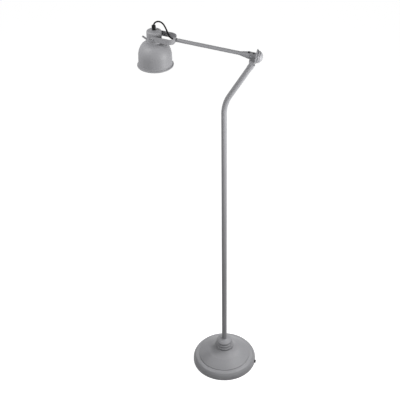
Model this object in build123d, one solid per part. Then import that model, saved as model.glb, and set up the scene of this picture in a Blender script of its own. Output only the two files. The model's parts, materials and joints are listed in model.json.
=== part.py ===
"""Floor reading lamp with a domed base, a bent pole, a hinged arm and a tilting bell shade.

Millimetres, +Z up. The origin is the centre of the felt under the base, on the floor.
The arm and the head point towards -X, the pole leans towards +X, and both hinges turn about Y.
The arm is drawn level about its hinge and the head about its pivot, then each is put in place.
"""

import os
from math import cos, radians, sin, sqrt, tan

from build123d import *

# Base
base_radius = 138.0
foot_height = 8.0
shell_gap = 1.0
shell_wall = 1.5
shell_top = 82.0
shell_top_radius = 42.0
felt_radius = 134.0
felt_thickness = 3.0
weight_radius = 114.0
weight_top = 26.0
weight_boss_radius = 28.0
nut_pocket_radius = 14.0
nut_pocket_top = 13.0
channel_width = 10.0
channel_top = 12.0
collar_top = 124.0
collar_root_radius = 38.5
collar_ridges = 3
collar_ridge_pitch = 12.0
collar_ridge_bulge = 3.0
collar_ridge_step = 3.0
inlet_height = 8.5
inlet_bore_radius = 3.5
inlet_bush_radius = 5.0
inlet_flange_radius = 7.0
stud_radius = 5.0
stud_bore_radius = 3.7

# Pole
pole_radius = 10.65
pole_wall = 2.0
pole_corner_height = 1308.0
pole_bend_radius = 150.0
pole_lean = 30.85
ferrule_radius = 11.6
ferrule_start = 56.0
ferrule_end = 35.0
spigot_length = 28.0

# Arm and knuckle, along the arm from its hinge
knuckle_height = 1511.7
arm_raise = 6.85
arm_radius = 7.0
arm_wall = 1.2
hinge_setback = 22.0
eye_radius = 10.5
eye_half_width = 5.5
tongue_half_width = 5.0
tongue_shift = 6.5
slot_half_width = 7.0
slot_front = 14.5
slot_rear = 11.5
relief_depth = 7.0
cheek_front = 5.0
cheek_radius = 25.2
cheek_half_width = 11.0
barrel_radius = 13.0
barrel_rear = 16.0
cone_radius = 14.0
cone_rear_x = -8.0
cone_front_x = -44.5
pin_radius = 3.0
running_gap = 0.06
shoe_radius = 4.5
shoe_pocket = 2.0

# Clamp knob
knob_gap = 0.5
knob_radius = 27.0
knob_rim = 3.0
knob_dome_radius = 24.5
knob_grooves = [6.5, 12.5]
groove_width = 2.6
groove_depth = 2.0
knob_scallops = 24
scallop_radius = 3.2
scallop_depth = 1.2
screw_radius = 3.0
screw_reach = 13.0

# Yoke, along the arm from its hinge
head_reach = 357.5
yoke_reach = 278.0
yoke_half_width = 31.0
yoke_strap = 2.5
yoke_strap_height = 20.0
yoke_corner_radius = 22.0
nipple_reach = 5.6
pivot_screw_radius = 2.5

# Head, heights from its pivot
cup_radius = 27.4
cup_wall = 1.5
cup_bottom = -14.0
cup_shoulder = 14.5
cup_top = 22.0
neck_radius = 25.5
shade_top = -26.0
shade_wall = 1.2
shade_hole_radius = 20.5
shade_rim_height = -117.7
shade_rim_radius = 67.0
bead_radius = 3.0
holder_radius = 20.0
holder_bottom = -58.0
holder_top = 8.0
e27_wall_radius = 13.25
nipple_radius = 5.0
gland_foot_radius = 7.0
gland_stem_radius = 5.8
gland_cap_radius = 7.5
gland_cap_foot = 28.5
gland_top = 39.5
handle_radius = 3.3
handle_length = 24.5
handle_rise = 33.0
handle_height = -20.0

# Lead of 5.6 mm, as (distance towards the pole, height) from the head's pivot
lead_radius = 2.8
lead_route = [
    (0, 30.7),
    (0, 41.9),
    (6.1, 51.3),
    (16.3, 55.9),
    (27.4, 54.3),
    (36.2, 47),
    (44, 32.5),
    (51, 14),
    (59.5, -7.15),
    (81.74, -9.82),
]

# Places worked out from the sizes above
lean_across = sin(radians(pole_lean))
lean_up = cos(radians(pole_lean))
knuckle_x = (knuckle_height - pole_corner_height) * tan(radians(pole_lean))
hinge_x = knuckle_x - hinge_setback * cos(radians(arm_raise))
hinge_height = knuckle_height + hinge_setback * sin(radians(arm_raise))
knob_x = barrel_rear + knob_gap
yoke_inner_x = -yoke_reach - yoke_strap
arm_place = Pos(hinge_x, 0, hinge_height) * Rot(0, arm_raise, 0)
head_place = Pos((arm_place * Pos(-head_reach, 0, 0)).position)
STANDING = (Align.CENTER, Align.CENTER, Align.MIN)


def on_pole_axis(distance):
    """Point on the leaning axis, at a distance before the knuckle."""
    return (knuckle_x - distance * lean_across, 0, knuckle_height - distance * lean_up)


def turned(outline, axis=Axis.Z):
    """Solid of revolution of a closed outline of (radius, height), or of (x, radius) about X."""
    return revolve(Plane.XZ * make_face(outline), axis)


def turned_on_arm(*points):
    """Solid turned about the arm's axis from points of (x, radius)."""
    return turned(Polyline(*points, close=True), Axis.X)


def along_arm(radius, start_x, end_x):
    """Round bar on the arm's axis."""
    return rod(radius, (start_x, 0, 0), (end_x, 0, 0))


def spun_sheet(line, wall, bore):
    """Sheet metal spun about Z, its outer face on a line from the open rim to the flat crown."""
    rim = line @ 0
    crown = line @ 1
    beyond = Polyline(crown, (-50, crown.Y), (-50, rim.Y - 50), (rim.X, rim.Y - 50), rim)
    section = make_face(line.edges() + beyond.edges())
    wall_section = section - offset(section, amount=-wall)
    keep = Pos(bore, rim.Y) * Rectangle(400, 400, align=(Align.MIN, Align.MIN))
    return revolve(Plane.XZ * (wall_section & keep), Axis.Z)


def rod(radius, start, end):
    """Round bar from one point to another."""
    run = Vector(*end) - Vector(*start)
    return Plane(origin=start, z_dir=run) * Cylinder(radius, run.length, align=STANDING)


def pipe(radius, bore, start, end):
    """Round bar with a bore along its whole length."""
    return rod(radius, start, end) - rod(bore, start, end)


def hex_prism(across_flats, height):
    """Hexagonal bar standing on the XY plane."""
    return extrude(RegularPolygon(across_flats / 2, 6, major_radius=False), height)


def on_both_sides(piece):
    """The piece and its mirror image across the plane of the arm."""
    return piece + mirror(piece, about=Plane.XZ)


def base_line():
    """Outer line of the base: foot, side, shoulder, ledge, dome and cove up to the collar's seat."""
    foot = Line((base_radius, shell_gap), (base_radius, foot_height))
    side = ThreePointArc(foot @ 1, (136.3, 18.5), (131, 27))
    shoulder = ThreePointArc(side @ 1, (127.5, 31), (122, 33))
    ledge = Polyline(shoulder @ 1, (112.5, 35.2), (111.3, 38))
    dome = ThreePointArc(ledge @ 1, (95, 48.5), (72, 62))
    cove = ThreePointArc(dome @ 1, (54.5, 70.8), (shell_top_radius, shell_top))
    return Wire([edge for run in (foot, side, shoulder, ledge, dome, cove) for edge in run.edges()])


def make_felt_pad():
    return Cylinder(felt_radius, felt_thickness, align=STANDING)


def make_base_shell():
    inlet = rod(inlet_bush_radius, (weight_radius, 0, inlet_height), (base_radius + 1, 0, inlet_height))
    return spun_sheet(base_line(), shell_wall, stud_radius) - inlet


def make_base_weight():
    boss_top = shell_top - shell_wall
    outline = Polyline(
        (0, felt_thickness),
        (weight_radius, felt_thickness),
        (weight_radius, weight_top - 4),
        (weight_radius - 4, weight_top),
        (weight_boss_radius + 12, weight_top + 3),
        (weight_boss_radius, weight_top + 12),
        (weight_boss_radius, boss_top),
        (0, boss_top),
        close=True,
    )
    pocket = rod(nut_pocket_radius, (0, 0, felt_thickness), (0, 0, nut_pocket_top))
    bore = rod(stud_radius, (0, 0, felt_thickness), (0, 0, boss_top))
    channel = Pos(weight_radius / 2, 0, felt_thickness) * Box(
        weight_radius, channel_width, channel_top - felt_thickness, align=STANDING
    )
    return turned(outline) - pocket - bore - channel


def make_base_collar():
    line = Line((collar_root_radius, shell_top), (collar_root_radius, shell_top + 1))
    for _ in range(collar_ridges):
        start = line @ 1
        crown = start + Vector(collar_ridge_bulge - collar_ridge_step / 2, collar_ridge_pitch / 2)
        line += ThreePointArc(start, crown, start + Vector(-collar_ridge_step, collar_ridge_pitch))
    crest = line @ 1
    line += Polyline(
        crest,
        (crest.X - 3, crest.Y + 2.5),
        (pole_radius + 3.5, collar_top),
        (pole_radius + 1.5, collar_top + 2),
        (pole_radius, collar_top + 2),
        (pole_radius, shell_top),
        (collar_root_radius, shell_top),
    )
    return turned(line)


def make_cable_grommet():
    axis_start = (base_radius - 14, 0, inlet_height)
    axis_end = (base_radius + 4.5, 0, inlet_height)
    inside = Polyline(base_line() @ 1, (0, shell_top), (0, shell_gap), base_line() @ 0)
    envelope = turned(base_line().edges() + inside.edges())
    flange = rod(inlet_flange_radius, axis_start, axis_end) - envelope
    bush = rod(inlet_bush_radius, axis_start, axis_end)
    return flange + bush - rod(inlet_bore_radius, axis_start, axis_end)


def make_base_stud():
    return pipe(stud_radius, stud_bore_radius, (0, 0, 5), (0, 0, shell_top + 20))


def make_base_washer():
    return pipe(12, stud_radius, (0, 0, nut_pocket_top - 1.5), (0, 0, nut_pocket_top))


def make_base_nut():
    nut = Pos(0, 0, 5) * hex_prism(16, nut_pocket_top - 6.5)
    return nut - rod(stud_radius, (0, 0, 0), (0, 0, nut_pocket_top))


def make_pole_plug():
    return pipe(pole_radius - pole_wall, stud_radius, (0, 0, shell_top), (0, 0, shell_top + 25))


def make_pole_tube():
    corner = (0, 0, pole_corner_height)
    path = FilletPolyline((0, 0, shell_top), corner, on_pole_axis(ferrule_start), radius=pole_bend_radius)
    section = Circle(pole_radius) - Circle(pole_radius - pole_wall)
    return sweep(Pos(0, 0, shell_top) * section, path)


def make_pole_lead():
    foot = (0, 0, 6)
    corner = (0, 0, pole_corner_height)
    path = FilletPolyline(foot, corner, on_pole_axis(ferrule_end + 8), radius=pole_bend_radius)
    return sweep(Pos(*foot) * Circle(lead_radius), path)


def make_pole_head():
    ferrule = rod(ferrule_radius, on_pole_axis(ferrule_start), on_pole_axis(ferrule_end))
    ferrule = chamfer(ferrule.edges().filter_by(GeomType.CIRCLE), 1.2)
    spigot_end = on_pole_axis(ferrule_start + spigot_length)
    spigot = rod(pole_radius - pole_wall, spigot_end, on_pole_axis(ferrule_start))
    across = Vector(lean_up, 0, -lean_across)
    root = Vector(*on_pole_axis(ferrule_end + 3)) - across * tongue_shift
    right = root + across * tongue_half_width
    left = root - across * tongue_half_width
    tongue = make_face(
        Polyline(
            (hinge_x - tongue_half_width, hinge_height),
            (hinge_x + tongue_half_width, hinge_height),
            (right.X, right.Z),
            (left.X, left.Z),
            close=True,
        )
    )
    eye = Pos(hinge_x, hinge_height) * Circle(eye_radius)
    plate = extrude(Plane.XZ * (tongue + eye), eye_half_width, both=True)
    lead_bore = rod(lead_radius + 1, spigot_end, on_pole_axis(ferrule_end + 6))
    pin_bore = rod(pin_radius + running_gap, (hinge_x, -20, hinge_height), (hinge_x, 20, hinge_height))
    return ferrule + spigot + plate - lead_bore - pin_bore


def make_arm_head():
    spigot_radius = arm_radius - arm_wall
    body = turned_on_arm(
        (cone_front_x - 20, 0),
        (cone_front_x - 20, spigot_radius),
        (cone_front_x, spigot_radius),
        (cone_front_x, arm_radius),
        (cone_rear_x, cone_radius),
        (cone_rear_x, barrel_radius),
        (barrel_rear - 1, barrel_radius),
        (barrel_rear, barrel_radius - 1),
        (barrel_rear, 0),
    )
    cheeks = Pos((barrel_rear - cheek_front) / 2, 0, -cheek_radius / 2) * Box(
        barrel_rear + cheek_front, 2 * cheek_half_width, cheek_radius
    )
    cheeks &= rod(cheek_radius, (0, -20, 0), (0, 20, 0))
    slot_side = make_face(
        Polyline(
            (-slot_front, 2 * barrel_radius),
            (slot_rear, 2 * barrel_radius),
            (slot_rear, -relief_depth),
            (barrel_rear + 1, 1 - barrel_radius),
            (barrel_rear + 1, -2 * barrel_radius),
            (-slot_front, -2 * barrel_radius),
            close=True,
        )
    )
    slot = extrude(Plane.XZ * slot_side, slot_half_width, both=True)
    lead_bore = along_arm(lead_radius + 1, cone_front_x - 20, 0)
    pin_hole = rod(pin_radius, (0, -20, 0), (0, 20, 0))
    screw_hole = along_arm(screw_radius + running_gap, 0, barrel_rear)
    pocket = along_arm(shoe_radius, 0, slot_rear + shoe_pocket)
    return arm_place * (body + cheeks - slot - lead_bore - pin_hole - screw_hole - pocket)


def make_hinge_pin():
    half = barrel_radius - 0.4
    pin = rod(pin_radius, (0, -half, 0), (0, half, 0))
    return arm_place * chamfer(pin.edges().filter_by(GeomType.CIRCLE), 0.5)


def make_hinge_washers():
    inner = (0, eye_half_width + 0.1, 0)
    outer = (0, slot_half_width - 0.1, 0)
    return arm_place * on_both_sides(pipe(eye_radius - 0.5, pin_radius + running_gap, inner, outer))


def make_brake_shoe():
    shoe = along_arm(shoe_radius, 0, slot_rear + shoe_pocket - 0.2)
    return arm_place * (shoe - rod(eye_radius + 0.3, (0, -20, 0), (0, 20, 0)))


def make_clamp_screw():
    return arm_place * along_arm(screw_radius, slot_rear + shoe_pocket - 0.1, knob_x + screw_reach)


def on_knob_ball(distance):
    """Point of (x, radius) on the knob's ball, at a distance from the face of its rim."""
    return (knob_x + distance, sqrt(knob_dome_radius**2 - distance**2))


def make_clamp_knob():
    reach = knob_radius + scallop_radius - scallop_depth
    scallops = PolarLocations(reach, knob_scallops) * Circle(scallop_radius)
    rim_outline = Circle(knob_radius) - scallops - Circle(screw_radius)
    rim = Plane(origin=(knob_x, 0, 0), z_dir=(1, 0, 0)) * extrude(rim_outline, knob_rim)
    line = Polyline((knob_x + knob_rim, screw_radius), on_knob_ball(knob_rim))
    for groove in knob_grooves:
        halfway = ((line @ 1).X - knob_x + groove) / 2
        crest = Vector(*on_knob_ball(groove))
        line += ThreePointArc(line @ 1, on_knob_ball(halfway), crest)
        line += Polyline(
            crest,
            crest - Vector(0, groove_depth),
            crest + Vector(groove_width, -groove_depth),
            on_knob_ball(groove + groove_width),
        )
    apex = (knob_x + knob_dome_radius, 0)
    line += TangentArc(apex, line @ 1, tangent=(0, 1))
    line += Polyline(
        apex,
        (knob_x + screw_reach, 0),
        (knob_x + screw_reach, screw_radius),
        (knob_x + knob_rim, screw_radius),
    )
    return arm_place * (rim + turned(line, Axis.X))


def make_arm_tube():
    start = (-yoke_reach, 0, 0)
    return arm_place * pipe(arm_radius, arm_radius - arm_wall, start, (cone_front_x, 0, 0))


def make_arm_nipple():
    mouth_x = yoke_inner_x - nipple_reach
    rear_x = 18 - yoke_reach
    nipple = turned_on_arm(
        (mouth_x, 0),
        (mouth_x, nipple_radius),
        (-yoke_reach, nipple_radius),
        (-yoke_reach, arm_radius - arm_wall),
        (rear_x, arm_radius - arm_wall),
        (rear_x, 0),
    )
    return arm_place * (nipple - along_arm(lead_radius + 1, mouth_x, rear_x))


def make_arm_nut():
    nut = Plane(origin=(yoke_inner_x, 0, 0), x_dir=(0, 0, 1), z_dir=(-1, 0, 0)) * hex_prism(17, 5)
    return arm_place * (nut - along_arm(nipple_radius, yoke_inner_x - 5, yoke_inner_x))


def make_yoke():
    hoop = Pos(-yoke_reach, 0) * RectangleRounded(
        200, 2 * yoke_half_width, yoke_corner_radius, align=(Align.MAX, Align.CENTER)
    )
    strip = hoop - offset(hoop, amount=-yoke_strap)
    strap = extrude(strip, yoke_strap_height / 2, both=True)
    leg_length = head_reach - yoke_reach
    leg_end = Pos(-head_reach, 0) * Circle(yoke_strap_height / 2)
    leg_side = Pos(-head_reach + leg_length / 2, 0) * Rectangle(leg_length, yoke_strap_height)
    side_view = extrude(Plane.XZ * (leg_end + leg_side), yoke_half_width, both=True)
    reach = yoke_half_width + 1
    pivot_hole = rod(pivot_screw_radius + running_gap, (-head_reach, -reach, 0), (-head_reach, reach, 0))
    arm_hole = along_arm(nipple_radius, yoke_inner_x, -yoke_reach)
    return arm_place * ((strap & side_view) - pivot_hole - arm_hole)


def make_arm_lead():
    route_end = Vector(*lead_route[-1])
    return arm_place * along_arm(lead_radius, route_end.length - head_reach, cone_front_x + 22)


def make_head_lead():
    points = [Vector(out, 0, height) for out, height in lead_route]
    radii = []
    for before, corner, after in zip(points, points[1:], points[2:]):
        into = corner - before
        away = after - corner
        half_turn = radians(into.get_angle(away)) / 2
        radii.append(0.45 * min(into.length, away.length) / tan(half_turn))
    path = FilletPolyline(*points, radius=radii)
    section = Plane(origin=path @ 0, z_dir=path % 0) * Circle(lead_radius)
    lead = sweep(section, path)
    print("lead radii", [round(radius, 1) for radius in radii])
    print("lead length", round(path.length, 1))
    print("lead volume to section times length", round(lead.volume / (section.area * path.length), 4))
    return head_place * lead


def make_socket_cup():
    line = Polyline(
        (neck_radius, shade_top),
        (neck_radius, cup_bottom - 2),
        (cup_radius, cup_bottom),
        (cup_radius, cup_shoulder),
    )
    corner = (cup_radius - 4.5, cup_shoulder + 5.5)
    line += ThreePointArc(line @ 1, (cup_radius - 1.2, cup_shoulder + 3.3), corner)
    line += ThreePointArc(line @ 1, (cup_radius / 2 + 2, cup_top - 0.7), (gland_foot_radius + 1.5, cup_top))
    cup = spun_sheet(Wire(line.edges()), cup_wall, nipple_radius)
    pivot_hole = rod(pivot_screw_radius, (0, -cup_radius, 0), (0, cup_radius, 0))
    handle_start, handle_end = handle_axis()
    return head_place * (cup - pivot_hole - rod(handle_radius, handle_start, handle_end))


def make_shade():
    step_height = shade_rim_height + 10
    skirt_radius = shade_rim_radius - 2 * bead_radius + 1.5
    line = Polyline(
        (skirt_radius + 0.6, shade_rim_height + bead_radius),
        (skirt_radius + 0.4, step_height - 0.6),
        (skirt_radius - 0.4, step_height),
        (61, -74.7),
    )
    flank = TangentArc(line @ 1, (48.8, -38), tangent=line % 1)
    shoulder = TangentArc(flank @ 1, (neck_radius + 2, shade_top), tangent=flank % 1)
    bell = spun_sheet(Wire(line.edges() + flank.edges() + shoulder.edges()), shade_wall, shade_hole_radius)
    bead_centre = (shade_rim_radius - bead_radius, shade_rim_height + bead_radius)
    bead = revolve(Plane.XZ * (Pos(*bead_centre) * Circle(bead_radius)), Axis.Z)
    return head_place * (bell + bead)


def make_shade_ring():
    under = shade_top - shade_wall
    return head_place * pipe(27, holder_radius, (0, 0, under - 4), (0, 0, under))


def make_lampholder_body():
    outline = Polyline(
        (0, holder_bottom),
        (holder_radius, holder_bottom),
        (holder_radius, shade_top),
        (holder_radius + 3, shade_top),
        (holder_radius + 3, shade_top + 2.5),
        (holder_radius - 2, shade_top + 5),
        (holder_radius - 3, holder_top - 4),
        (12, holder_top),
        (0, holder_top),
        close=True,
    )
    socket = rod(e27_wall_radius + 0.8, (0, 0, holder_bottom), (0, 0, holder_bottom + 30))
    nipple_hole = rod(nipple_radius, (0, 0, holder_top - 10), (0, 0, holder_top))
    return head_place * (turned(outline) - socket - nipple_hole)


def make_lampholder_shell():
    wall = e27_wall_radius + 0.8
    return head_place * pipe(wall, e27_wall_radius, (0, 0, holder_bottom + 3), (0, 0, holder_bottom + 26))


def make_lampholder_contact():
    outline = Polyline(
        (0, holder_bottom + 26.5),
        (3, holder_bottom + 26.5),
        (5, holder_bottom + 28),
        (5, holder_bottom + 30),
        (0, holder_bottom + 30),
        close=True,
    )
    return head_place * turned(outline)


def make_head_nipple():
    return head_place * pipe(nipple_radius, lead_radius + 0.7, (0, 0, holder_top - 10), (0, 0, cup_top + 10))


def make_gland_body():
    flange = rod(gland_foot_radius, (0, 0, cup_top), (0, 0, cup_top + 4.5))
    flange = chamfer(flange.edges().filter_by(GeomType.CIRCLE).sort_by(Axis.Z)[-1], 1)
    stem = rod(gland_stem_radius, (0, 0, cup_top + 4.5), (0, 0, gland_cap_foot + 6))
    thread = rod(nipple_radius, (0, 0, cup_top), (0, 0, cup_top + 10))
    lead_bore = rod(lead_radius + 0.3, (0, 0, cup_top), (0, 0, gland_top))
    return head_place * (flange + stem - thread - lead_bore)


def make_gland_cap():
    outline = Polyline(
        (0, gland_cap_foot),
        (gland_cap_radius, gland_cap_foot),
        (gland_cap_radius, gland_top - 1.2),
        (gland_cap_radius - 1.2, gland_top),
        (0, gland_top),
        close=True,
    )
    grips = hex_prism(2 * gland_cap_radius - 0.8, gland_top)
    stem = rod(gland_stem_radius, (0, 0, gland_cap_foot), (0, 0, gland_cap_foot + 6))
    lead_bore = rod(lead_radius + 0.3, (0, 0, gland_cap_foot), (0, 0, gland_top))
    return head_place * ((turned(outline) & grips) - stem - lead_bore)


def make_pivot_screws():
    head_seat = yoke_half_width + 0.2
    head_line = Polyline(
        (0, head_seat),
        (6, head_seat),
        (6, head_seat + 1),
        (4.5, head_seat + 2.6),
        (0, head_seat + 3),
        close=True,
    )
    head = revolve(Plane.XY * make_face(head_line), Axis.Y)
    shank = rod(pivot_screw_radius, (0, cup_radius - 6, 0), (0, head_seat, 0))
    return head_place * on_both_sides(head + shank)


def make_pivot_washers():
    inner = cup_radius + 0.05
    outer = yoke_half_width - yoke_strap - 0.25
    washer = pipe(7, pivot_screw_radius, (0, inner, 0), (0, outer, 0))
    return head_place * on_both_sides(washer)


def make_pivot_nuts():
    nut = Plane(origin=(0, cup_radius - 6, 0), z_dir=(0, 1, 0)) * hex_prism(8, 4)
    nut -= rod(pivot_screw_radius, (0, 0, 0), (0, cup_radius, 0))
    return head_place * on_both_sides(nut)


def handle_axis():
    """Start inside the neck and end of the tilt handle, seen from the head's axis."""
    start = Vector(-neck_radius + 1.5, 0, handle_height)
    run = Vector(-cos(radians(handle_rise)), 0, sin(radians(handle_rise))) * handle_length
    return start, start + run


def make_tilt_handle():
    bar = rod(handle_radius, *handle_axis())
    tip = bar.edges().filter_by(GeomType.CIRCLE).sort_by(Axis.X)[0]
    return head_place * fillet(tip, 2)


nodes = {
    "felt_pad": make_felt_pad,
    "base_weight": make_base_weight,
    "base_shell": make_base_shell,
    "base_collar": make_base_collar,
    "cable_grommet": make_cable_grommet,
    "base_stud": make_base_stud,
    "base_washer": make_base_washer,
    "base_nut": make_base_nut,
    "pole_plug": make_pole_plug,
    "pole_tube": make_pole_tube,
    "pole_lead": make_pole_lead,
    "pole_head": make_pole_head,
    "arm_head": make_arm_head,
    "hinge_pin": make_hinge_pin,
    "hinge_washers": make_hinge_washers,
    "brake_shoe": make_brake_shoe,
    "clamp_screw": make_clamp_screw,
    "clamp_knob": make_clamp_knob,
    "arm_tube": make_arm_tube,
    "arm_nipple": make_arm_nipple,
    "arm_nut": make_arm_nut,
    "yoke": make_yoke,
    "arm_lead": make_arm_lead,
    "head_lead": make_head_lead,
    "socket_cup": make_socket_cup,
    "shade": make_shade,
    "shade_ring": make_shade_ring,
    "lampholder_body": make_lampholder_body,
    "lampholder_shell": make_lampholder_shell,
    "lampholder_contact": make_lampholder_contact,
    "head_nipple": make_head_nipple,
    "gland_body": make_gland_body,
    "gland_cap": make_gland_cap,
    "pivot_screws": make_pivot_screws,
    "pivot_washers": make_pivot_washers,
    "pivot_nuts": make_pivot_nuts,
    "tilt_handle": make_tilt_handle,
}

os.makedirs("parts", exist_ok=True)
for name, make in nodes.items():
    export_step(make(), f"parts/{name}.step")
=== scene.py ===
"""Looks of the grey floor lamp: its finishes, the looping lead, fine hardware, light and camera.

Metres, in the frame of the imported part.
"""

import json
from math import cos, radians, sin

import bpy
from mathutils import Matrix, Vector
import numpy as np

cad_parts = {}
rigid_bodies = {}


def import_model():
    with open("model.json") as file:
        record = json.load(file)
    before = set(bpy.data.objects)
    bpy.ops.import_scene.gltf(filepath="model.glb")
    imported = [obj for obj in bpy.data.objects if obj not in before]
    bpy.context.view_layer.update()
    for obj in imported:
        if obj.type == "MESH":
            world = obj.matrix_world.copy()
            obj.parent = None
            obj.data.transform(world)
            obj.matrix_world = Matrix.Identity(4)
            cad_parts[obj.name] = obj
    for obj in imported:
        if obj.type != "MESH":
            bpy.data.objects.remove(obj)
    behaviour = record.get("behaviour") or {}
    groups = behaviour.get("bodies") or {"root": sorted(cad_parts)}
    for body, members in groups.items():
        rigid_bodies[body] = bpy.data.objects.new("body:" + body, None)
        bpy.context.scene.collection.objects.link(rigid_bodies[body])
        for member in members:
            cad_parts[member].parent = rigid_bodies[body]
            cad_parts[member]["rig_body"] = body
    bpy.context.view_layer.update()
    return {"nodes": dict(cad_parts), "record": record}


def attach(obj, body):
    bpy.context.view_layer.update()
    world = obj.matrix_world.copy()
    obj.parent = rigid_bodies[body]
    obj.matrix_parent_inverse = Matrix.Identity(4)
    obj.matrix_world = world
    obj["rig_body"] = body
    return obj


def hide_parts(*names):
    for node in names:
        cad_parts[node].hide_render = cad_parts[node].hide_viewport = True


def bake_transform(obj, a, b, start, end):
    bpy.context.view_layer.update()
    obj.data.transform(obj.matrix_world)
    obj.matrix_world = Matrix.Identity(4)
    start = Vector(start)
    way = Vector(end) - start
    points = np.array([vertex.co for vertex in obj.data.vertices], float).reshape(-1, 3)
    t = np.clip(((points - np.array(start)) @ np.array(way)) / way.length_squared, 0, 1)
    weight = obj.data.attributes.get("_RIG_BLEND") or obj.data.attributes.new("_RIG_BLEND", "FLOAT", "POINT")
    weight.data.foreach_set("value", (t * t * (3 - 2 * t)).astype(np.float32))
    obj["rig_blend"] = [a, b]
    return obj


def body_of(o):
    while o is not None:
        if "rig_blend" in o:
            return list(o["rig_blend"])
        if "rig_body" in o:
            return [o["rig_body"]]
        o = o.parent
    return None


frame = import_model()
cad = frame["nodes"]
MM = 0.001
arm_raise = 6.85  # degrees that the arm rises towards the head
yoke_inner_face = 280.5  # millimetres along the arm from its hinge
pivots = {joint["name"]: joint["pos_m"] for joint in frame["record"]["behaviour"]["joints"]}


def linear(hex_colour):
    """An sRGB hex colour as linear red, green, blue and alpha."""
    shares = [int(hex_colour[i:i + 2], 16) / 255 for i in (1, 3, 5)]
    return [s / 12.92 if s <= 0.04045 else ((s + 0.055) / 1.055) ** 2.4 for s in shares] + [1.0]


def per_mm(size):
    """Texture scale at which one feature is about this many millimetres wide."""
    return 1 / (size * MM)


def add_node(tree, kind, inputs, **settings):
    """Adds a node; each input gets a value, or a link where it is given another node's output."""
    node = tree.nodes.new(kind)
    for name, value in settings.items():
        setattr(node, name, value)
    for name, value in inputs.items():
        if isinstance(value, bpy.types.NodeSocket):
            tree.links.new(value, node.inputs[name])
        else:
            node.inputs[name].default_value = value
    return node


def new_material(name):
    """An empty node material and its tree."""
    material = bpy.data.materials.new(name)
    material.use_nodes = True
    material.node_tree.nodes.clear()
    return material, material.node_tree


def grey_powder_coat():
    """Polyester powder baked on steel: a matte mid grey, faintly orange-peeled, with a soft broad highlight."""
    material, tree = new_material("grey_powder_coat")
    place = add_node(tree, "ShaderNodeTexCoord", {}).outputs["Object"]
    clouds = add_node(tree, "ShaderNodeTexNoise", {"Vector": place, "Scale": per_mm(70), "Detail": 3.0})
    grain = add_node(tree, "ShaderNodeTexNoise", {"Vector": place, "Scale": per_mm(1.8), "Detail": 2.0})
    tone = add_node(tree, "ShaderNodeMixRGB", {
        "Fac": clouds.outputs["Fac"], "Color1": linear("#8d8d90"), "Color2": linear("#969699"),
    })
    specks = add_node(tree, "ShaderNodeMapRange", {
        "Value": grain.outputs["Fac"], "From Min": 0.35, "From Max": 0.7, "To Min": 0.0, "To Max": 0.35,
    })
    colour = add_node(tree, "ShaderNodeMixRGB", {
        "Fac": specks.outputs["Result"], "Color1": tone.outputs["Color"], "Color2": linear("#7e7e81"),
    })
    polish = add_node(tree, "ShaderNodeMapRange", {
        "Value": grain.outputs["Fac"], "From Min": 0.3, "From Max": 0.7, "To Min": 0.47, "To Max": 0.6,
    })
    peel = add_node(tree, "ShaderNodeBump", {
        "Height": grain.outputs["Fac"], "Strength": 0.25, "Distance": 0.12 * MM,
    })
    shader = add_node(tree, "ShaderNodeBsdfPrincipled", {
        "Base Color": colour.outputs["Color"],
        "Roughness": polish.outputs["Result"],
        "Normal": peel.outputs["Normal"],
    })
    add_node(tree, "ShaderNodeOutputMaterial", {"Surface": shader.outputs["BSDF"]})
    return material


def cast_iron():
    """Sand-cast iron: dark, rough and pitted, with a dull skin."""
    material, tree = new_material("cast_iron")
    place = add_node(tree, "ShaderNodeTexCoord", {}).outputs["Object"]
    pits = add_node(tree, "ShaderNodeTexNoise", {"Vector": place, "Scale": per_mm(2.5), "Detail": 4.0})
    colour = add_node(tree, "ShaderNodeMixRGB", {
        "Fac": pits.outputs["Fac"], "Color1": linear("#2b2a29"), "Color2": linear("#4a4846"),
    })
    sand = add_node(tree, "ShaderNodeBump", {"Height": pits.outputs["Fac"], "Strength": 0.6, "Distance": 0.4 * MM})
    shader = add_node(tree, "ShaderNodeBsdfPrincipled", {
        "Base Color": colour.outputs["Color"], "Metallic": 0.6, "Roughness": 0.7, "Normal": sand.outputs["Normal"],
    })
    add_node(tree, "ShaderNodeOutputMaterial", {"Surface": shader.outputs["BSDF"]})
    return material


def wool_felt():
    """Pressed wool felt: charcoal, fuzzy, with short matted fibres and a faint sheen."""
    material, tree = new_material("wool_felt")
    place = add_node(tree, "ShaderNodeTexCoord", {}).outputs["Object"]
    fibres = add_node(tree, "ShaderNodeTexNoise", {
        "Vector": place, "Scale": per_mm(1.2), "Detail": 6.0, "Distortion": 2.0,
    })
    colour = add_node(tree, "ShaderNodeMixRGB", {
        "Fac": fibres.outputs["Fac"], "Color1": linear("#26272a"), "Color2": linear("#44464a"),
    })
    nap = add_node(tree, "ShaderNodeBump", {"Height": fibres.outputs["Fac"], "Strength": 0.8, "Distance": 0.5 * MM})
    shader = add_node(tree, "ShaderNodeBsdfPrincipled", {
        "Base Color": colour.outputs["Color"], "Roughness": 0.95, "Sheen Weight": 0.4, "Normal": nap.outputs["Normal"],
    })
    add_node(tree, "ShaderNodeOutputMaterial", {"Surface": shader.outputs["BSDF"]})
    return material


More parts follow.
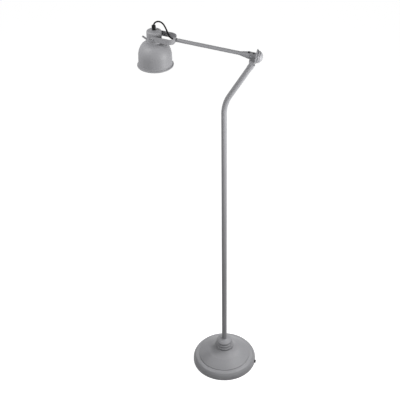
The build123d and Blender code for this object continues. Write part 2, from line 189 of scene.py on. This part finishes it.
def zinc_plated_steel():
    """Zinc-plated turned steel: dull bluish grey, with fine machining haze."""
    material, tree = new_material("zinc_plated_steel")
    place = add_node(tree, "ShaderNodeTexCoord", {}).outputs["Object"]
    haze = add_node(tree, "ShaderNodeTexNoise", {"Vector": place, "Scale": per_mm(0.8), "Detail": 3.0})
    colour = add_node(tree, "ShaderNodeMixRGB", {
        "Fac": haze.outputs["Fac"], "Color1": linear("#83878b"), "Color2": linear("#989b9f"),
    })
    polish = add_node(tree, "ShaderNodeMapRange", {"Value": haze.outputs["Fac"], "To Min": 0.25, "To Max": 0.45})
    shader = add_node(tree, "ShaderNodeBsdfPrincipled", {
        "Base Color": colour.outputs["Color"], "Metallic": 1.0, "Roughness": polish.outputs["Result"],
    })
    add_node(tree, "ShaderNodeOutputMaterial", {"Surface": shader.outputs["BSDF"]})
    return material


def natural_nylon():
    """Moulded natural nylon: milky off-white and waxy."""
    material, tree = new_material("natural_nylon")
    place = add_node(tree, "ShaderNodeTexCoord", {}).outputs["Object"]
    flow = add_node(tree, "ShaderNodeTexNoise", {"Vector": place, "Scale": per_mm(5), "Detail": 2.0})
    colour = add_node(tree, "ShaderNodeMixRGB", {
        "Fac": flow.outputs["Fac"], "Color1": linear("#d8d4c8"), "Color2": linear("#e4e1d8"),
    })
    shader = add_node(tree, "ShaderNodeBsdfPrincipled", {
        "Base Color": colour.outputs["Color"], "Roughness": 0.5, "IOR": 1.53,
    })
    add_node(tree, "ShaderNodeOutputMaterial", {"Surface": shader.outputs["BSDF"]})
    return material


def black_phenolic():
    """Moulded black phenolic: near black, with a slight spark-eroded texture and a satin shine."""
    material, tree = new_material("black_phenolic")
    place = add_node(tree, "ShaderNodeTexCoord", {}).outputs["Object"]
    spark = add_node(tree, "ShaderNodeTexNoise", {"Vector": place, "Scale": per_mm(0.7), "Detail": 3.0})
    colour = add_node(tree, "ShaderNodeMixRGB", {
        "Fac": spark.outputs["Fac"], "Color1": linear("#0a0a0b"), "Color2": linear("#131314"),
    })
    texture = add_node(tree, "ShaderNodeBump", {"Height": spark.outputs["Fac"], "Strength": 0.3, "Distance": 0.1 * MM})
    shader = add_node(tree, "ShaderNodeBsdfPrincipled", {
        "Base Color": colour.outputs["Color"], "Roughness": 0.5, "Specular IOR Level": 0.15,
        "Normal": texture.outputs["Normal"],
    })
    add_node(tree, "ShaderNodeOutputMaterial", {"Surface": shader.outputs["BSDF"]})
    return material


def rubber_sheath():
    """Black rubber cable sheath: soft satin black with a dusty bloom."""
    material, tree = new_material("rubber_sheath")
    place = add_node(tree, "ShaderNodeTexCoord", {}).outputs["Object"]
    bloom = add_node(tree, "ShaderNodeTexNoise", {"Vector": place, "Scale": per_mm(6), "Detail": 4.0})
    colour = add_node(tree, "ShaderNodeMixRGB", {
        "Fac": bloom.outputs["Fac"], "Color1": linear("#080809"), "Color2": linear("#121213"),
    })
    polish = add_node(tree, "ShaderNodeMapRange", {"Value": bloom.outputs["Fac"], "To Min": 0.45, "To Max": 0.7})
    shader = add_node(tree, "ShaderNodeBsdfPrincipled", {
        "Base Color": colour.outputs["Color"], "Roughness": polish.outputs["Result"], "Specular IOR Level": 0.15,
    })
    add_node(tree, "ShaderNodeOutputMaterial", {"Surface": shader.outputs["BSDF"]})
    return material


def rolled_brass():
    """Rolled brass: warm yellow metal with light drawing marks."""
    material, tree = new_material("rolled_brass")
    place = add_node(tree, "ShaderNodeTexCoord", {}).outputs["Object"]
    marks = add_node(tree, "ShaderNodeTexNoise", {"Vector": place, "Scale": per_mm(1.5), "Detail": 3.0})
    colour = add_node(tree, "ShaderNodeMixRGB", {
        "Fac": marks.outputs["Fac"], "Color1": linear("#c9a24e"), "Color2": linear("#dbb968"),
    })
    polish = add_node(tree, "ShaderNodeMapRange", {"Value": marks.outputs["Fac"], "To Min": 0.22, "To Max": 0.42})
    shader = add_node(tree, "ShaderNodeBsdfPrincipled", {
        "Base Color": colour.outputs["Color"], "Metallic": 1.0, "Roughness": polish.outputs["Result"],
    })
    add_node(tree, "ShaderNodeOutputMaterial", {"Surface": shader.outputs["BSDF"]})
    return material


finishes = {
    "grey_coat": grey_powder_coat(),
    "cast_iron": cast_iron(),
    "felt": wool_felt(),
    "zinc_steel": zinc_plated_steel(),
    "nylon": natural_nylon(),
    "black_plastic": black_phenolic(),
    "black_rubber": rubber_sheath(),
    "brass": rolled_brass(),
}
for row in frame["record"]["subparts"]:
    for holder in cad[row["node"]].material_slots:
        holder.material = finishes[row["material_slot"]]


def from_head_pivot(out, across, up):
    """Point at distances in millimetres from the middle of the head's pivot."""
    return [start + distance * MM for start, distance in zip(pivots["head_tilt"], (out, across, up))]


def from_hinge(along):
    """Point on the arm's axis at a distance in millimetres from the arm's hinge, positive towards the knob."""
    x, y, z = pivots["arm_pivot"]
    return (x + along * MM * cos(radians(arm_raise)), y, z - along * MM * sin(radians(arm_raise)))


def looping_lead():
    """The black lead that rises from the gland, loops over and enters the arm, and bends when the head tilts."""
    diameter = 5.6 * MM
    held_by_arm = from_head_pivot(52.5, 0, -26.5)
    held_by_head = from_head_pivot(-3, 0, 36.5)
    route = [
        (0, 30.7),
        (0, 41.9),
        (6.1, 51.3),
        (16.3, 55.9),
        (27.4, 54.3),
        (36.2, 47),
        (44, 32.5),
        (51, 14),
        (59.5, -7.15),
        (81.74, -9.82),
    ]
    data = bpy.data.curves.new("looping_lead", "CURVE")
    data.dimensions = "3D"
    spline = data.splines.new("NURBS")
    spline.points.add(len(route) - 1)
    for point, (out, height) in zip(spline.points, route):
        point.co = (*from_head_pivot(out, 0, height), 1)
    spline.order_u = 3
    spline.use_endpoint_u = True
    spline.resolution_u = 10
    lead = bpy.data.objects.new("looping_lead", data)
    bpy.context.collection.objects.link(lead)
    bpy.context.view_layer.update()
    centreline = bpy.data.meshes.new_from_object(lead)
    data.bevel_depth = diameter / 2
    data.bevel_resolution = 5
    data.use_fill_caps = True
    bpy.ops.object.select_all(action="DESELECT")
    lead.select_set(True)
    bpy.context.view_layer.objects.active = lead
    bpy.ops.object.convert(target="MESH")
    lead = bpy.context.view_layer.objects.active
    bpy.ops.object.shade_smooth()
    lead.data.materials.clear()
    lead.data.materials.append(finishes["black_rubber"])
    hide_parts("head_lead")
    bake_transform(lead, "arm", "head", start=held_by_arm, end=held_by_head)
    return lead


looping_lead()


def disc_grown(name, rings, sides=48):
    """Turned piece standing on Z: a disc extruded and scaled through rings of (radius, height) in millimetres."""
    bpy.ops.object.select_all(action="DESELECT")
    radius, height = rings[0]
    bpy.ops.mesh.primitive_circle_add(
        vertices=sides, radius=radius * MM, fill_type="NGON", location=(0, 0, height * MM)
    )
    piece = bpy.context.active_object
    piece.name = name
    bpy.ops.object.transform_apply()
    bpy.ops.object.mode_set(mode="EDIT")
    bpy.ops.mesh.select_all(action="SELECT")
    for next_radius, next_height in rings[1:]:
        bpy.ops.mesh.extrude_region_move(TRANSFORM_OT_translate={"value": (0, 0, (next_height - height) * MM)})
        scale = next_radius / radius
        bpy.ops.transform.resize(value=(scale, scale, 1), center_override=(0, 0, next_height * MM))
        radius, height = next_radius, next_height
    bpy.ops.mesh.select_all(action="SELECT")
    bpy.ops.mesh.normals_make_consistent(inside=False)
    bpy.ops.object.mode_set(mode="OBJECT")
    return piece


def cut(piece, tool, operation="DIFFERENCE"):
    """Cuts one solid with another, or keeps what they share, and removes the tool."""
    boolean = piece.modifiers.new("cut", "BOOLEAN")
    boolean.object = tool
    boolean.operation = operation
    boolean.solver = "EXACT"
    bpy.context.view_layer.objects.active = piece
    bpy.ops.object.modifier_apply(modifier="cut")
    bpy.data.objects.remove(tool)


def finished(piece, node, finish, turn=(0, 0, 0), place=(0, 0, 0)):
    """Turns a modelled piece by degrees, moves it to its place and lets it stand for its CAD node."""
    bpy.ops.object.select_all(action="DESELECT")
    piece.select_set(True)
    bpy.context.view_layer.objects.active = piece
    piece.rotation_euler = [radians(angle) for angle in turn]
    piece.location = place
    bpy.ops.object.transform_apply()
    bpy.ops.object.shade_smooth_by_angle(angle=radians(35))
    piece.data.materials.clear()
    piece.data.materials.append(finishes[finish])
    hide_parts(node)
    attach(piece, *body_of(cad[node]))
    return piece


def pivot_screws():
    """Two button-head screws with hexagon sockets, on which the head tilts in the yoke."""
    sides = []
    for side in (1, -1):
        screw = disc_grown("pivot_screws", [
            (2.1, 21.4), (2.5, 21.9), (2.5, 31.2), (6, 31.2), (6, 32.0), (5.6, 33.0), (4.7, 33.8), (3.4, 34.2),
        ])
        socket = disc_grown("hexagon_socket", [(2.3, 32.4), (2.3, 35)], sides=6)
        cut(screw, socket)
        screw.rotation_euler = (radians(-90 * side), 0, 0)
        sides.append(screw)
    bpy.ops.object.select_all(action="DESELECT")
    for screw in sides:
        screw.select_set(True)
    bpy.context.view_layer.objects.active = sides[0]
    bpy.ops.object.transform_apply()
    bpy.ops.object.join()
    return finished(sides[0], "pivot_screws", "grey_coat", place=pivots["head_tilt"])


def arm_nut():
    """Hexagon nut with both faces chamfered, which holds the yoke on the arm's nipple."""
    across_flats, thick, bore_radius = 17, 5, 5
    face_radius, edge_radius, chamfer_depth = 8.3, 10.2, 1.1
    corner_radius = across_flats / 2 / cos(radians(30))
    nut = disc_grown("arm_nut", [(corner_radius, 0), (corner_radius, thick)], sides=6)
    chamfer = disc_grown("nut_chamfer", [
        (face_radius, 0), (edge_radius, chamfer_depth), (edge_radius, thick - chamfer_depth), (face_radius, thick),
    ])
    cut(nut, chamfer, "INTERSECT")
    cut(nut, disc_grown("nut_bore", [(bore_radius, -1), (bore_radius, thick + 1)]))
    nut_seat = from_hinge(-yoke_inner_face)
    return finished(nut, "arm_nut", "grey_coat", turn=(0, arm_raise - 90, 0), place=nut_seat)


def threaded_shell():
    """The lampholder's brass shell: a flattened bead wound as the rolled lamp thread."""
    bead_pitch, bead_radius, first_bead = 3.62, 13.45, 1.9
    shell_foot = from_head_pivot(0, 0, -55)
    bpy.ops.object.select_all(action="DESELECT")
    bpy.ops.mesh.primitive_circle_add(
        vertices=20, radius=bead_pitch / 2 * MM, location=(bead_radius * MM, 0, first_bead * MM),
        rotation=(radians(90), 0, 0),
    )
    shell = bpy.context.active_object
    shell.name = "threaded_shell"
    shell.scale = (0.32, 1, 1)
    bpy.ops.object.transform_apply()
    winding = shell.modifiers.new("winding", "SCREW")
    winding.axis = "Z"
    winding.screw_offset = bead_pitch * MM
    winding.iterations = 5
    winding.steps = 64
    winding.render_steps = 64
    winding.use_merge_vertices = True
    bpy.ops.object.modifier_apply(modifier="winding")
    bpy.ops.object.mode_set(mode="EDIT")
    bpy.ops.mesh.select_all(action="SELECT")
    bpy.ops.mesh.normals_make_consistent(inside=False)
    bpy.ops.object.mode_set(mode="OBJECT")
    return finished(shell, "lampholder_shell", "brass", place=shell_foot)


pivot_screws()
arm_nut()
threaded_shell()


def soft_box(name, place, aim, energy, size, spread=180):
    """A square soft box that faces a point, its light spread over an angle in degrees."""
    data = bpy.data.lights.new(name, "AREA")
    data.energy = energy
    data.size = size
    data.spread = radians(spread)
    box = bpy.data.objects.new(name, data)
    box.location = place
    facing = Vector(aim) - box.location
    box.rotation_euler = facing.to_track_quat("-Z", "Y").to_euler()
    bpy.context.collection.objects.link(box)


def seen_glow(tree, strength, fill):
    """A light strength for rays that the eye, a reflection or glass sends, and a weaker fill for all other rays."""
    path = add_node(tree, "ShaderNodeLightPath", {})
    seen = add_node(tree, "ShaderNodeMath", {
        0: path.outputs["Is Camera Ray"], 1: path.outputs["Is Glossy Ray"],
    }, operation="MAXIMUM")
    seen = add_node(tree, "ShaderNodeMath", {
        0: seen.outputs[0], 1: path.outputs["Is Transmission Ray"],
    }, operation="MAXIMUM")
    glow = add_node(tree, "ShaderNodeMath", {
        0: seen.outputs[0], 1: strength - fill, 2: fill,
    }, operation="MULTIPLY_ADD")
    return glow.outputs[0]


def studio():
    """A white floor and dome without an edge, and soft boxes at the right, the left, on the base and behind."""
    bpy.ops.object.select_all(action="DESELECT")
    bpy.ops.mesh.primitive_plane_add(size=40)
    floor = bpy.context.active_object
    floor.name = "studio_floor"
    material, tree = new_material("white_paper_sweep")
    paper = add_node(tree, "ShaderNodeBsdfDiffuse", {"Color": linear("#b4b4b4")})
    shine = add_node(tree, "ShaderNodeEmission", {"Color": linear("#ffffff"), "Strength": seen_glow(tree, 0.95, 0)})
    both = add_node(tree, "ShaderNodeAddShader", {0: paper.outputs[0], 1: shine.outputs[0]})
    add_node(tree, "ShaderNodeOutputMaterial", {"Surface": both.outputs[0]})
    floor.data.materials.append(material)

    world = bpy.data.worlds.new("studio_dome")
    world.use_nodes = True
    world.node_tree.nodes.clear()
    dome = add_node(world.node_tree, "ShaderNodeBackground", {
        "Color": linear("#ffffff"), "Strength": seen_glow(world.node_tree, 1, 0.08),
    })
    add_node(world.node_tree, "ShaderNodeOutputWorld", {"Surface": dome.outputs[0]})
    bpy.context.scene.world = world

    upper_lamp, pole, base = (-0.05, 0, 1.25), (-0.05, 0, 0.9), (0, 0, 0.05)
    soft_box("right_box", (0.85, -0.3, 1.35), upper_lamp, energy=15, size=0.5)
    soft_box("left_box", (-0.9, -0.6, 2.3), upper_lamp, energy=15, size=0.6)
    soft_box("base_box", (0.9, 0.7, 1.9), base, energy=0.75, size=0.5, spread=34)
    soft_box("rear_box", (-0.4, 2, 1.6), pole, energy=10, size=1)


studio()


def photo_camera():
    """The photograph's view: from the front and a little right, about 35 degrees down, through a long lens."""
    data = bpy.data.cameras.new("camera")
    data.sensor_width = 36
    data.lens = 83.43
    data.shift_x = -0.065
    camera = bpy.data.objects.new("camera", data)
    camera.location = (0.6273, -2.9166, 3.0007)
    camera.rotation_euler = [radians(angle) for angle in (54.5, 0, 12)]
    bpy.context.collection.objects.link(camera)
    bpy.context.scene.camera = camera


photo_camera()
bpy.context.scene.view_settings.view_transform = "Standard"
